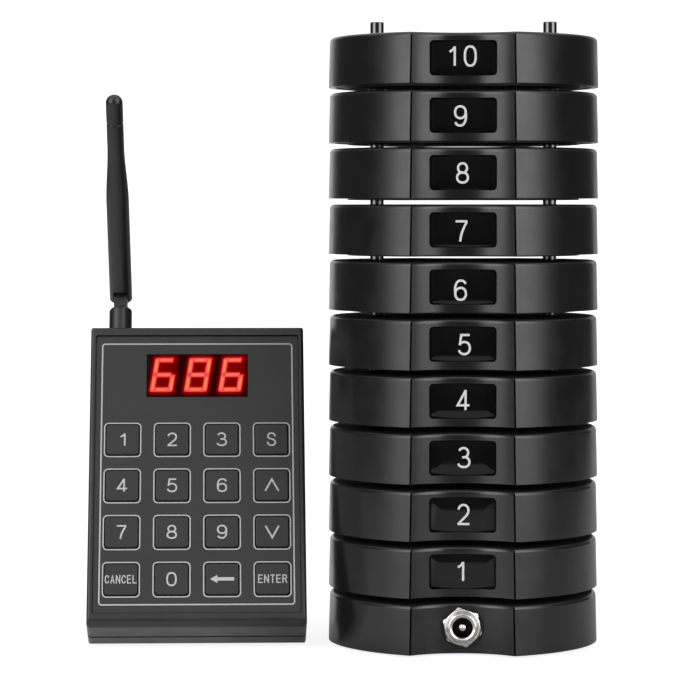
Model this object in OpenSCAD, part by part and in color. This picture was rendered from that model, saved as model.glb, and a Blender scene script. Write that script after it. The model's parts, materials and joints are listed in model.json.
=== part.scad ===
// Guest pager system: a stack of ten numbered pagers on a charging dock, and a
// keypad transmitter that leans back on a fold-out prop leg beside it.
// Millimetres. Origin: middle of the dock's underside. +Z up, -Y is the front.

/* [Pager shell] */
// Width of a pager over its two rounded sides
pager_w = 106.5; // [98:0.5:110]
// Depth of a pager over its four corner ridges
pager_d = 105; // [98:0.5:110]
// Distance between the two ridges at the front
ridge_span = 40; // [36:0.5:46]
// Depth of the scooped front and back behind the ridges
scoop_depth = 8; // [6:0.5:9]
// Height of the outer wall
wall_h = 19.5; // [18.5:0.1:22]
// How far the rounded sides lean in from bottom to top
wall_draft = 0.5; // [0.2:0.1:1]
// Radius of the top edge
edge_r = 1.8; // [1:0.1:2.2]
// Thickness of the outer wall
wall_t = 2; // [1.6:0.1:2.4]
// Thickness of the top
top_t = 2; // [1.6:0.1:2.4]
// Radius of the fine groove along each ridge
crease_r = 0.4; // [0.2:0.05:0.6]
// Width of the ledge that the bottom cover seats on
ledge_w = 0.8; // [0.6:0.1:1.2]

/* [Pager bottom cover] */
// Thickness of the cover plate
cover_t = 2; // [1.6:0.1:2.4]
// Height of the plate's underside above the wall's lower edge
cover_up = 0.4; // [0.2:0.1:0.8]
// Gap between the cover and the wall around it
cover_gap = 0.15; // [0.1:0.05:0.3]
// Distance from the outside of the wall to the raised pad
pad_inset = 7.5; // [6:0.5:9]
// How far the pad stands below the wall
pad_stand = 0.6; // [0.4:0.1:1]

/* [Number window] */
// Width of the window in the front scoop
window_w = 25.7; // [22:0.1:28]
// Height of the window
window_h = 13.5; // [11:0.1:14]
// Corner radius of the window
window_r = 1.6; // [1:0.1:2.5]
// Distance from the top of the pager to the window
window_drop = 3.05; // [2.6:0.05:3.4]
// Depth of the plate's face behind the deepest line of the scoop
plate_recess = 0.6; // [0.3:0.1:1]
// Thickness of the number plate
plate_t = 0.8; // [0.5:0.1:1.2]
// Gap around the number plate
plate_gap = 0.15; // [0.1:0.05:0.3]

/* [Charging posts] */
// Distance between the two posts
post_span = 68.3; // [64:0.1:72]
// Radius of a post
post_r = 2.7; // [2.3:0.1:3]
// Height of a post above the top
post_h = 6.5; // [5.5:0.1:7]
// Radius of a post's top edge
post_edge_r = 0.5; // [0.3:0.1:0.8]
// Radius of the collar that seats a post in the top
collar_r = 3.1; // [3.05:0.05:3.4]
// Radius of the flange under the top
flange_r = 4.2; // [3.8:0.1:5]
// Thickness of that flange
flange_t = 1; // [0.8:0.1:1.5]
// Radius of the tail that reaches down to the board
tail_r = 1.5; // [1:0.1:2]
// Gap between a post and the cup it charges through
cup_gap = 0.3; // [0.2:0.05:0.4]
// Thickness of the cup's wall
cup_t = 0.6; // [0.4:0.1:0.8]
// Thickness of the cover's boss around the cup
cup_boss_t = 1.2; // [1:0.1:1.6]
// Gap around fixed metal parts in their holes
seat_gap = 0.05; // [0.03:0.01:0.1]
// Gap between faces that are glued or pressed together
bond_gap = 0.02; // [0.02:0.01:0.05]

/* [Pager insides] */
// Thickness of every circuit board
board_t = 1.6; // [1:0.1:2]
// Height of the board's underside above the wall's lower edge
board_z = 9; // [8.6:0.1:10]
// Distance from the outside of the wall to the board
board_inset = 8; // [7:0.5:10]
// Distance between the board's pillars, across
pillar_span_x = 56; // [54:0.5:60]
// Distance between the board's pillars, front to back
pillar_span_y = 44; // [42:0.5:48]
// Radius of a pillar
pillar_r = 3; // [2.5:0.1:3.5]
// Radius of the pin that is staked through the board
stake_r = 1.2; // [0.8:0.1:1.4]
// Length of that pin below the board
stake_out = 0.8; // [0.5:0.1:1]
// Width of the battery
battery_w = 48; // [40:1:50]
// Depth of the battery
battery_d = 34; // [28:1:36]
// Thickness of the battery
battery_t = 5; // [4:0.1:5.4]
// Thickness of the ribs beside the battery
rib_t = 1.2; // [1:0.1:1.6]
// Height of those ribs
rib_h = 3; // [2:0.1:4]
// Radius of the coin vibration motor
motor_r = 5; // [4:0.1:6]
// Thickness of the motor
motor_t = 3.4; // [2.5:0.1:4]
// Radius of the buzzer
buzzer_r = 6; // [5:0.1:7]
// Height of the buzzer
buzzer_h = 5; // [4:0.1:5.5]
// Distance of motor and buzzer from the middle of the board
sounder_off = 16; // [12:0.5:18]
// Radius of the ring of signal lamps on the board
lamp_ring_r = 34; // [32:0.5:36]

/* [Stack] */
// How many pagers stand on the dock
pager_count = 10; // [10]
// Gap between the walls of two pagers
stack_gap = 2.35; // [2:0.05:2.6]

/* [Charging dock] */
// Height of the wall's lower edge above the table
dock_lift = 0.9; // [0.6:0.1:1.2]
// Height of the power jack's axis above the table
jack_z = 11.1; // [10.2:0.1:11.8]
// Radius of the jack's threaded barrel
barrel_r = 5.3; // [4.8:0.1:5.8]
// Radius of the hole for the plug
jack_bore_r = 4; // [3.4:0.1:4.2]
// Depth of that hole
jack_bore_l = 9.5; // [8:0.1:11]
// Radius of the centre pin
jack_pin_r = 1.25; // [1:0.05:1.4]
// How far the pin's tip lies behind the barrel's mouth
jack_pin_back = 1; // [0.5:0.1:2]
// Radius of the jack's body inside the dock
jack_body_r = 6.6; // [6.4:0.1:7]
// Length of that body
jack_body_l = 9; // [7:0.1:11]
// Size of the hex nut across its flats
nut_af = 13.6; // [13.2:0.1:14.4]
// Thickness of the nut
nut_t = 2.3; // [1.8:0.1:3]
// Radius of the nut's chamfered face
nut_face_r = 6.9; // [6.6:0.1:7.4]
// Turn of the nut about its axis
nut_turn = -18; // [-60:1:60]
// How far the barrel stands out of the nut
barrel_out = 1; // [0.6:0.1:1.6]
// Radius of the flat seat that the nut bears on
nut_seat_r = 8.3; // [8.3:0.1:8.6]
// Gap around the barrel in wall and nut
barrel_gap = 0.1; // [0.05:0.05:0.2]
// Height of the charging transformer on the dock's board
coil_h = 5; // [4:0.1:5.5]

/* [Transmitter case] */
// Width of the case
tx_w = 86; // [86:0.5:92]
// Length of the case
tx_l = 128; // [128:0.5:134]
// Thickness of the case
tx_t = 23; // [23:0.1:26]
// Angle that the case leans back from upright
tx_lean = 27; // [22:1:30]
// Angle that the case is turned towards the stack
tx_yaw = 4.3; // [0:0.1:6]
// Middle of the case, left of the stack's axis
tx_x = 104.9; // [104:0.1:120]
// Line that the case rests on, in front of the stack's axis
tx_y = 12.1; // [0:0.1:20]
// Thickness of the case's walls
tx_wall = 2; // [1.8:0.1:2.4]
// Corner radius of the case seen from the front
tx_corner_r = 1.5; // [1:0.1:2.5]
// Radius of the front lower edge
tx_chin_r = 3; // [2:0.1:3.5]
// Radius of the other front edges
tx_front_r = 1.2; // [0.8:0.1:1.6]
// Radius of the back edges
tx_back_r = 2; // [1.5:0.1:2.5]
// Depth of the back shell
tx_back_d = 8.8; // [8.6:0.1:9.4]
// Width of the groove between the two shells
seam_w = 1.2; // [0.8:0.1:1.4]
// Depth of that groove
seam_d = 0.9; // [0.7:0.1:1]
// Length of the back shell's tongue inside the front shell
tongue_l = 1.5; // [1:0.1:2]
// Gap around the tongue
tongue_gap = 0.1; // [0.05:0.05:0.2]

/* [Transmitter face] */
// Width of the rim beside the face panel
rim_side = 2.05; // [1.8:0.05:2.5]
// Width of the rim above the face panel
rim_top = 3.7; // [3:0.1:4]
// Width of the rim below the face panel
rim_bottom = 5; // [4:0.1:5.5]
// Depth of the face panel below the rim
panel_sink = 0.6; // [0.4:0.1:1]
// Thickness of the face panel
panel_t = 1; // [0.8:0.1:1.4]
// Gap around the face panel
panel_gap = 0.35; // [0.1:0.05:0.5]
// Height of the display's middle above the case's lower end
display_z = 106.6; // [105:0.1:107.5]
// Width of the display window
display_w = 40.8; // [36:0.1:44]
// Height of the display window
display_h = 18.9; // [16:0.1:19.4]
// Thickness of the window's lens
lens_t = 0.8; // [0.6:0.1:0.9]
// Gap around the lens in the panel
lens_gap = 0.1; // [0.05:0.05:0.2]
// Distance of the display's sides from those of its window
module_in = 0.2; // [0.1:0.1:0.5]
// Gap between the window in the panel and the hole in the wall behind it
window_step = 0.3; // [0.1:0.1:0.5]

/* [Transmitter keys] */
// Distance between keys, both ways
key_pitch = 19.8; // [19:0.1:20.2]
// Height of the keypad's middle above the case's lower end
keypad_z = 48.8; // [48:0.1:50]
// Size of a key
key_w = 12.9; // [12:0.1:13.4]
// Corner radius of a key
key_r = 1.5; // [1:0.1:2]
// Radius of a key's front edges
key_edge_r = 0.4; // [0.2:0.1:0.6]
// Gap around a key in the panel
key_gap = 0.45; // [0.3:0.05:0.6]
// How far a key stands out of the panel
key_out = 0.5; // [0.3:0.1:0.8]
// How far a key travels when pressed
key_travel = 1; // [0.6:0.1:1.1]
// Width of the flange that keeps a key in the case
key_lip = 1.2; // [1:0.1:1.4]
// Thickness of that flange
key_lip_t = 1.2; // [0.8:0.1:1.4]
// Gap between moving faces inside the keypad
key_clear = 0.15; // [0.1:0.05:0.2]
// Radius of a dome on the keypad mat
dome_r = 4.2; // [3:0.1:5]
// Height of a dome
dome_h = 1.1; // [0.8:0.1:1.4]
// Thickness of the keypad mat
mat_t = 1; // [0.8:0.1:1.4]
// Gap around the pillars in the mat
mat_gap = 0.3; // [0.2:0.1:0.5]

/* [Transmitter insides] */
// Radius of the pillars that carry the board
post_pillar_r = 1.8; // [1.5:0.1:2]
// Radius of the pins staked through the board
board_stake_r = 1; // [0.8:0.1:1.2]
// Height of the chips on the board
chip_h = 2; // [1:0.1:3]
// Width of the power socket
socket_w = 9; // [8:0.1:10]
// Thickness of the power socket
socket_d = 9; // [8:0.1:9.4]
// Length of the power socket
socket_l = 13.5; // [12:0.1:15]
// Distance of the power socket from the case's middle line
socket_x = 22; // [16:0.5:24]
// Depth of the power socket's face below the case's upper end
socket_sink = 0.6; // [0.3:0.1:1]
// Gap around the power socket in the case's upper end
socket_gap = 0.2; // [0.1:0.05:0.3]
// Radius of the power socket's hole
socket_bore_r = 3; // [2.8:0.1:3.2]
// Radius of the power socket's pin
socket_pin_r = 0.9; // [0.6:0.05:1]
// Distance of each screw from the case's sides
screw_in = 6; // [5.8:0.1:6.4]
// Distance of the lower screws from the case's lower end
screw_low = 6.5; // [6:0.1:7]
// Distance of the upper screws from the case's upper end
screw_high = 7.8; // [7.6:0.1:8.2]
// Radius of a screw's shank
screw_r = 1.3; // [1:0.1:1.4]
// Radius of a screw's head
screw_head_r = 2.4; // [2:0.1:2.6]
// Thickness of a screw's head
screw_head_t = 1.4; // [1:0.1:1.6]
// Depth of the heads below the back
screw_sink = 0.3; // [0.2:0.1:0.5]
// Gap around a screw's head
screw_head_gap = 0.2; // [0.1:0.05:0.3]
// Length of a screw's thread in the front shell
screw_bite = 8; // [6:0.5:8.5]
// Radius of the bosses that take the screws
boss_r = 3.1; // [3:0.1:3.3]
// Radius of a rubber foot on the back
foot_r = 5; // [4:0.1:6]
// Thickness of a rubber foot
foot_t = 1.2; // [1:0.1:1.5]
// Depth of a foot's seat in the back
foot_seat = 0.5; // [0.3:0.1:0.8]
// Distance of each foot from the case's sides
foot_side = 12; // [11.5:0.5:15]
// Distance of each foot from the case's ends
foot_end = 19; // [18:0.5:24]

/* [Antenna] */
// Distance of the antenna from the case's middle line
ant_x = 31.4; // [28:0.1:33]
// Distance of the antenna's axis from the face
ant_y = 8.3; // [7.9:0.1:8.3]
// Radius of the antenna's base
ant_base_r = 4.65; // [4.4:0.05:4.65]
// Length of the base above the case
ant_base_l = 11.6; // [10:0.1:16]
// Radius of the base's upper edge
ant_edge_r = 1.2; // [0.8:0.1:1.4]
// Radius of the neck that turns in the case
neck_r = 3; // [2.5:0.1:3]
// Gap above and below the wall that the neck turns in
turn_gap = 0.2; // [0.1:0.05:0.3]
// Running gap around neck and hinge pins
run_gap = 0.06; // [0.03:0.01:0.08]
// Thickness of the washer that keeps the neck in
neck_clip_t = 1.2; // [0.8:0.1:1.6]
// Width of that washer around the neck
neck_clip_w = 1.2; // [0.8:0.1:1.2]
// Height of the tilt hinge above the base's shoulder
hinge_up = 6.4; // [5.2:0.1:7]
// Width of the tongue between the whip's cheeks
ant_tongue_w = 5.4; // [4:0.1:5.6]
// Radius of the tongue's rounded end
ant_tongue_r = 3; // [2.5:0.1:3.2]
// Radius of the hinge pin
ant_pin_r = 1; // [0.8:0.1:1.4]
// Distance of the pin's ends from the whip's middle
ant_pin_l = 4.1; // [3.8:0.1:4.2]
// Gap between tongue and cheeks
cheek_gap = 0.2; // [0.1:0.05:0.3]
// Length of the whip above its hinge
whip_l = 88.5; // [60:0.5:90]
// Radius of the whip's lower part
whip_r = 4.6; // [4.4:0.05:4.75]
// Radius of the whip's upper part
whip_tip_r = 3.4; // [2.5:0.1:4]
// Height above the hinge at which the whip starts to narrow
taper_z0 = 42; // [20:1:44]
// Height above the hinge at which it is narrowest
taper_z1 = 66; // [46:1:70]
// Length of the whip's cheeks below the hinge
cheek_drop = 2.2; // [2:0.1:3]
// Radius of the cheeks' lower rim
cheek_edge_r = 1.2; // [0.6:0.1:1.4]
// Distance of the ring groove below the tip
ring_drop = 12; // [8:0.5:20]
// Radius of the ring groove
ring_r = 0.5; // [0.2:0.1:0.6]
// Angle that the whip is folded forward at rest
whip_tilt = 51; // [0:1:80]
// Angle that the antenna is turned at rest
ant_turn = -1.2; // [-20:0.1:20]

/* [Prop leg] */
// Height of the leg's hinge above the case's lower end
leg_z = 64; // [62:0.5:70]
// Length of the leg from its hinge to its foot
leg_l = 60; // [58:0.5:62]
// Width of the leg
leg_w = 36; // [24:0.5:40]
// Thickness of the leg
leg_t = 3; // [2.4:0.1:3.2]
// Depth of the leg's hinge below the back
leg_in = 2.6; // [2.4:0.1:2.8]
// Length of the leg's heel behind its hinge
heel_l = 1.6; // [1.4:0.1:1.8]
// Radius of the leg's hinge pins
leg_pin_r = 1.2; // [1:0.1:1.4]
// Length of the leg's hinge pins
leg_pin_l = 1.6; // [1.2:0.1:2]
// Gap between the leg and its bay
leg_gap = 0.4; // [0.3:0.05:0.6]
// Gap behind the leg when it is folded
bay_clear = 0.1; // [0.1:0.1:0.4]
// Thickness of the bay's walls
bay_wall = 2.2; // [2.2:0.1:2.6]
// Thickness of the bay's floor
bay_floor = 1.4; // [1.2:0.1:1.6]
// Radius of the notch for a fingertip in the leg's foot
nick_r = 7; // [5:0.5:9]

/* [Hidden] */
$fn = 96;
eps = 0.01;
far = 400;

shell_black = [0.09, 0.09, 0.10];
cover_grey = [0.13, 0.13, 0.14];
plate_black = [0.03, 0.03, 0.03];
nickel = [0.80, 0.79, 0.76];
board_green = [0.10, 0.30, 0.16];
cell_silver = [0.70, 0.71, 0.73];
case_grey = [0.24, 0.24, 0.25];
key_grey = [0.20, 0.20, 0.21];
lens_red = [0.35, 0.02, 0.02];
rubber_black = [0.06, 0.06, 0.06];
screw_steel = [0.55, 0.55, 0.57];

// Pager plan: two side arcs of radius side_r, centred side_off across the
// middle line, and a scoop of radius scoop_r, centred scoop_y out, at each end.
lamp_size = [3, 2.4, 1.2];
lamp_angles = [20, 60, 80, 100, 120, 160];
half_d = pager_d / 2;
half_ridge = ridge_span / 2;
side_off = (pow(pager_w, 2) / 4 - pow(half_ridge, 2) - pow(half_d, 2)) / (ridge_span - pager_w);
side_r = pager_w / 2 + side_off;
scoop_r = (pow(half_ridge, 2) + pow(scoop_depth, 2)) / (2 * scoop_depth);
scoop_y = half_d - scoop_depth + scoop_r;
scoop_face = half_d - scoop_depth;
wall_slope = atan(wall_draft / wall_h);
inner_inset = wall_draft + wall_t;
inner_face = scoop_face - inner_inset - ledge_w;
cover_top = cover_up + cover_t;
ceiling_z = wall_h - top_t;

// The posts of one pager reach into the cups of the next and carry it.
cup_depth = post_h - (stack_gap - pad_stand);
cup_ceiling = cup_depth - pad_stand;
cup_bore_r = post_r + cup_gap;
cup_r = cup_bore_r + cup_t;

window_mid = wall_h - window_drop - window_h / 2;
pocket_floor = scoop_face - plate_recess - plate_t;
dock_top = dock_lift + wall_h;
stack_pitch = wall_h + stack_gap;

// Transmitter depths are measured from the rim of the face, d = 0, inwards.
panel_d = panel_sink;
wall_d = panel_sink + panel_t;
inner_d = wall_d + tx_wall;
key_top_d = panel_sink - key_out;
lip_d = inner_d + key_clear;
dome_d = lip_d + key_lip_t + key_travel + key_clear;
mat_d = dome_d + dome_h;
board_d = mat_d + mat_t;
board_back_d = board_d + board_t;
seam_y = tx_back_d + seam_w;
key_hole_w = key_w + 2 * key_gap;
key_hole_r = key_r + key_gap;
key_lip_w = key_w + 2 * key_lip;
board_w = tx_w - 2 * (tx_wall + 2.5);
board_z0 = screw_in + boss_r + 1.5;
board_z1 = tx_l - screw_in - 1.5 - boss_r - 1;
lens_d = panel_sink + panel_t - lens_t;
screw_z0 = screw_low;
screw_z1 = tx_l - screw_high;
ant_shoulder = tx_l + ant_base_l;
ant_hinge_z = ant_shoulder + hinge_up;

// The case rests on its rounded rear lower edge; this is how far that edge's
// lowest point lies above the corner it rounds off.
tx_drop = tx_back_r * (sin(tx_lean) + cos(tx_lean) - 1);
leg_foot_r = leg_t / 2;
leg_hinge_h = leg_in * sin(tx_lean) + leg_z * cos(tx_lean) - tx_drop;
leg_open = acos((leg_hinge_h - leg_foot_r) / leg_l) + tx_lean;
bay_d = leg_in + heel_l * sin(leg_open) + leg_t / 2 * cos(leg_open) + bay_clear;

KEYS = ["key_1", "key_2", "key_3", "key_s",
        "key_4", "key_5", "key_6", "key_up",
        "key_7", "key_8", "key_9", "key_down",
        "key_cancel", "key_0", "key_back", "key_enter"];

// ---------------------------------------------------------------- helpers

// The crossing of two circles that lies on the side of larger x.
function circle_meet(p, rp, q, rq) =
    let (v = q - p, d = norm(v))
    let (a = (rp * rp - rq * rq + d * d) / (2 * d))
    let (h = sqrt(rp * rp - a * a))
    let (m = p + v * a / d, n = [-v[1], v[0]] * h / d)
    (m + n)[0] > (m - n)[0] ? m + n : m - n;

module round_rect(w, h, r) {
    square([w - 2 * r, h], center = true);
    square([w, h - 2 * r], center = true);
    for (x = [-1, 1], y = [-1, 1])
        translate([x * (w / 2 - r), y * (h / 2 - r)]) circle(r);
}

// Rectangle from (0, 0) to (w, h) with its own radius at each corner, given
// as [low x low y, high x low y, high x high y, low x high y].
module four_corner_rect(w, h, r) {
    difference() {
        square([w, h]);
        translate([0, 0]) square(r[0]);
        translate([w - r[1], 0]) square(r[1]);
        translate([w - r[2], h - r[2]]) square(r[2]);
        translate([0, h - r[3]]) square(r[3]);
    }
    translate([r[0], r[0]]) circle(r[0]);
    translate([w - r[1], r[1]]) circle(r[1]);
    translate([w - r[2], h - r[2]]) circle(r[2]);
    translate([r[3], h - r[3]]) circle(r[3]);
}

// Stands its children up: their plane becomes X-Z, and they reach from
// y = y0 to y = y1.
module upright(y0, y1) {
    translate([0, y1, 0]) rotate([90, 0, 0]) linear_extrude(y1 - y0) children();
}

module cube_between(a, b) {
    translate(a) cube(b - a);
}

// A round disc or rod with a rounded upper edge, standing on z = 0.
module edged_rod(r, h, e) {
    rotate_extrude() {
        square([r - e, h]);
        square([r, h - e]);
        translate([r - e, h - e]) circle(e);
    }
}

// ---------------------------------------------------------------- pager body

module pager_plan(inset) {
    difference() {
        intersection() {
            translate([side_off, 0]) circle(side_r - inset);
            translate([-side_off, 0]) circle(side_r - inset);
        }
        for (s = [-1, 1]) translate([0, s * scoop_y]) circle(scoop_r + inset);
    }
}

module side_profile() {
    cx = side_r - (wall_h - edge_r) * tan(wall_slope) - edge_r / cos(wall_slope);
    cz = wall_h - edge_r;
    translate([cx, cz]) circle(edge_r);
    polygon([[0, 0], [side_r, 0],
             [cx + edge_r * cos(wall_slope), cz + edge_r * sin(wall_slope)],
             [cx, wall_h], [0, wall_h]]);
}

module scoop_profile() {
    translate([0, -1]) square([scoop_r, wall_h + 2]);
    difference() {
        translate([0, wall_h - edge_r]) square([scoop_r + edge_r, edge_r + 1]);
        translate([scoop_r + edge_r, wall_h - edge_r]) circle(edge_r);
    }
}

// A fine groove that follows the ridge as the sides lean in.
module ridge_groove() {
    low = circle_meet([-side_off, 0], side_r, [0, -scoop_y], scoop_r);
    high = circle_meet([-side_off, 0], side_r - wall_draft, [0, -scoop_y], scoop_r);
    run = [high[0] - low[0], high[1] - low[1], wall_h];
    translate([low[0], low[1], 0])
        rotate([0, acos(wall_h / norm(run)), atan2(run[1], run[0])])
            translate([0, 0, -1]) cylinder(r = crease_r, h = norm(run) + 2);
}

module scooped_block() {
    difference() {
        intersection() {
            translate([side_off, 0, 0]) rotate_extrude() side_profile();
            translate([-side_off, 0, 0]) rotate_extrude() side_profile();
        }
        for (s = [-1, 1]) translate([0, s * scoop_y, 0]) rotate_extrude() scoop_profile();
    }
}

module pager_outside() {
    difference() {
        scooped_block();
        for (mx = [0, 1], my = [0, 1])
            mirror([mx, 0, 0]) mirror([0, my, 0]) ridge_groove();
    }
}

module at_pillars() {
    for (x = [-1, 1], y = [-1, 1])
        translate([x * pillar_span_x / 2, y * pillar_span_y / 2, 0]) children();
}

module at_posts() {
    for (x = [-1, 1]) translate([x * post_span / 2, 0, 0]) children();
}

// The hollow of a pager or dock shell, with the cover's ledge and the pillars
// and pins that carry the board left standing in it.
module pager_hollow() {
    translate([0, 0, -1]) linear_extrude(cover_top + bond_gap + 1) pager_plan(inner_inset);
    difference() {
        linear_extrude(ceiling_z) pager_plan(inner_inset + ledge_w);
        at_pillars() {
            translate([0, 0, board_z + board_t])
                cylinder(r = pillar_r, h = ceiling_z - board_z - board_t + 1);
            translate([0, 0, board_z - stake_out])
                cylinder(r = stake_r, h = ceiling_z - board_z + stake_out);
        }
    }
}

module window_cut(gap) {
    translate([0, 0, window_mid])
        upright(-far, -pocket_floor)
            round_rect(window_w - 2 * gap, window_h - 2 * gap, window_r - gap);
}

module pager_shell() {
    color(shell_black) difference() {
        pager_outside();
        difference() {
            pager_hollow();
            cube_between([-window_w / 2 - wall_t, -far, cover_top + bond_gap],
                         [window_w / 2 + wall_t, -pocket_floor + wall_t, wall_h]);
        }
        window_cut(0);
        at_posts() cylinder(r = collar_r + seat_gap, h = far);
    }
}

module pager_cover() {
    color(cover_grey) difference() {
        union() {
            translate([0, 0, cover_up])
                linear_extrude(cover_t) pager_plan(inner_inset + cover_gap);
            translate([0, 0, -pad_stand])
                linear_extrude(pad_stand + cover_up) pager_plan(pad_inset);
            at_posts() translate([0, 0, cover_up])
                cylinder(r = cup_r + cup_boss_t, h = cup_ceiling - cover_up);
            for (s = [-1, 1])
                translate([-battery_w / 4, s * (battery_d / 2 + cover_gap + rib_t / 2) - rib_t / 2,
                           cover_top - eps])
                    cube([battery_w / 2, rib_t, rib_h + eps]);
        }
        at_posts() translate([0, 0, -1]) cylinder(r = cup_r + seat_gap, h = far);
    }
}

module number_plate() {
    color(plate_black)
        translate([0, 0, window_mid])
            upright(-pocket_floor - plate_t, -pocket_floor - bond_gap)
                round_rect(window_w - 2 * plate_gap, window_h - 2 * plate_gap,
                           window_r - plate_gap);
}

// Post on the top: a rod, its collar in the top, the flange under the top and
// the tail that stands on the board.
module charge_posts() {
    color(nickel) at_posts() {
        translate([0, 0, wall_h - eps]) edged_rod(post_r, post_h + eps, post_edge_r);
        translate([0, 0, ceiling_z - flange_t]) cylinder(r = collar_r, h = flange_t + top_t);
        translate([0, 0, ceiling_z - bond_gap - flange_t]) cylinder(r = flange_r, h = flange_t);
        translate([0, 0, board_z + board_t])
            cylinder(r = tail_r, h = ceiling_z - flange_t - board_z - board_t);
    }
}

// Cup in the bottom cover that the post of the pager below reaches into.
module charge_cups() {
    color(nickel) at_posts() difference() {
        translate([0, 0, -pad_stand]) cylinder(r = cup_r, h = cup_depth + cup_t);
        translate([0, 0, -pad_stand - 1]) cylinder(r = cup_bore_r, h = cup_depth + 1);
    }
}

module bare_board() {
    difference() {
        translate([0, 0, board_z]) linear_extrude(board_t) pager_plan(board_inset);
        at_pillars() cylinder(r = stake_r + seat_gap, h = far);
    }
}

// A soldered part on the top of a pager's board.
module on_board(x, y, size) {
    translate([x - size[0] / 2, y - size[1] / 2, board_z + board_t - eps])
        cube([size[0], size[1], size[2] + eps]);
}

module pager_board() {
    color(board_green) {
        bare_board();
        on_board(-11, 0, [10, 10, 1.4]);
        on_board(13, 0, [6, 8, 1.8]);
        for (a = lamp_angles, s = [-1, 1])
            rotate([0, 0, s * 90 + a - 90]) on_board(lamp_ring_r, 0, lamp_size);
    }
    translate([0, 0, board_z + board_t + bond_gap]) {
        color(cell_silver) translate([0, sounder_off, 0]) cylinder(r = motor_r, h = motor_t);
        color(rubber_black) translate([0, -sounder_off, 0]) difference() {
            cylinder(r = buzzer_r, h = buzzer_h);
            translate([0, 0, buzzer_h / 2]) cylinder(r = buzzer_r / 5, h = buzzer_h);
        }
    }
}

module battery() {
    color(cell_silver) translate([-battery_w / 2, -battery_d / 2, cover_top])
        cube([battery_w, battery_d, battery_t]);
}

// ---------------------------------------------------------------- the stack

module on_stack(n) {
    translate([0, 0, dock_top + stack_gap + (n - 1) * stack_pitch]) children();
}

module pager_case(n) {
    on_stack(n) {
        pager_shell();
        pager_cover();
        number_plate();
        charge_posts();
        charge_cups();
    }
}

module pager_works(n) {
    on_stack(n) {
        pager_board();
        battery();
    }
}

module pager_10_shell() on_stack(pager_count) pager_shell();
module pager_10_bottom_cover() on_stack(pager_count) pager_cover();
module pager_10_number_plate() on_stack(pager_count) number_plate();
module pager_10_charge_contacts() on_stack(pager_count) {
    charge_posts();
    charge_cups();
}
module pager_10_board() on_stack(pager_count) pager_board();
module pager_10_battery() on_stack(pager_count) battery();

// ---------------------------------------------------------------- the dock

module dock_shell() {
    color(shell_black) difference() {
        translate([0, 0, dock_lift]) pager_outside();
        translate([0, 0, dock_lift]) pager_hollow();
        translate([0, 0, jack_z]) {
            upright(-far, -inner_face + 1) circle(barrel_r + barrel_gap);
            upright(-far, -scoop_face) circle(nut_seat_r);
        }
        at_posts() cylinder(r = collar_r + seat_gap, h = far);
    }
}

module dock_cover() {
    color(cover_grey) translate([0, 0, dock_lift + cover_up])
        linear_extrude(cover_t) pager_plan(inner_inset + cover_gap);
}

module dock_foot_pad() {
    color(rubber_black) linear_extrude(dock_lift + cover_up) pager_plan(pad_inset);
}

module dock_charge_posts() translate([0, 0, dock_lift]) charge_posts();

// Barrel and body in one, with the plug's hole and its centre pin.
module dock_power_jack() {
    mouth = scoop_face + nut_t + barrel_out;
    color(nickel) translate([0, 0, jack_z]) {
        difference() {
            union() {
                upright(-mouth, -inner_face) circle(barrel_r);
                upright(-inner_face, -inner_face + jack_body_l) circle(jack_body_r);
            }
            upright(-far, -mouth + jack_bore_l) circle(jack_bore_r);
        }
        upright(-mouth + jack_pin_back, -mouth + jack_bore_l + 1) circle(jack_pin_r);
    }
}

module dock_jack_nut() {
    color(nickel) translate([0, -scoop_face, jack_z]) rotate([90, 0, 0])
        intersection() {
            rotate([0, 0, nut_turn]) difference() {
                cylinder(r = nut_af / sqrt(3), h = nut_t, $fn = 6);
                translate([0, 0, -1]) cylinder(r = barrel_r + barrel_gap, h = nut_t + 2);
            }
            rotate_extrude() polygon([[0, 0], [nut_face_r + nut_t, 0], [nut_face_r, nut_t], [0, nut_t]]);
        }
}

module dock_board() {
    jack_end = inner_face - jack_body_l;
    color(board_green) translate([0, 0, dock_lift]) {
        difference() {
            bare_board();
            cube_between([-jack_body_r - 1, -far, 0], [jack_body_r + 1, -jack_end + 1, wall_h]);
        }
        on_board(0, 11, [18, 14, coil_h]);
        on_board(-18, -6, [8, 8, 1.6]);
        on_board(17, -7, [6, 10, 2.4]);
    }
}

// ---------------------------------------------------------------- transmitter

// Upright, the case spans x = -tx_w/2 to tx_w/2 and z = 0 to tx_l, with its
// face at y = -tx_t. This leans it back on its rear edge and turns it.
module on_table() {
    translate([-tx_x, -tx_y, -tx_drop]) rotate([0, 0, tx_yaw]) rotate([-tx_lean, 0, 0])
        children();
}

// Children drawn in the X-Z plane, from depth d0 to depth d1 behind the rim.
module layer(d0, d1) {
    upright(-tx_t + d0, -tx_t + d1) children();
}

module tx_outside() {
    intersection() {
        rotate([90, 0, 90]) translate([-tx_t, 0, -tx_w])
            linear_extrude(2 * tx_w)
                four_corner_rect(tx_t, tx_l, [tx_chin_r, tx_back_r, tx_back_r, tx_front_r]);
        translate([-tx_w / 2, -tx_t, -1]) linear_extrude(tx_l + 2)
            four_corner_rect(tx_w, tx_t, [tx_front_r, tx_front_r, tx_back_r, tx_back_r]);
        translate([0, 0, tx_l / 2]) upright(-tx_t - 1, 1) round_rect(tx_w, tx_l, tx_corner_r);
    }
}

module case_plan(inset) {
    translate([0, tx_l / 2])
        round_rect(tx_w - 2 * inset, tx_l - 2 * inset, max(tx_corner_r - inset, 0.4));
}

module panel_plan(gap) {
    h = tx_l - rim_top - rim_bottom;
    translate([0, rim_bottom + h / 2])
        round_rect(tx_w - 2 * (rim_side + gap), h - 2 * gap, 0.8);
}

module at_keys() {
    for (i = [0:3], j = [0:3])
        translate([(i - 1.5) * key_pitch, keypad_z + (1.5 - j) * key_pitch]) children();
}

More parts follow.
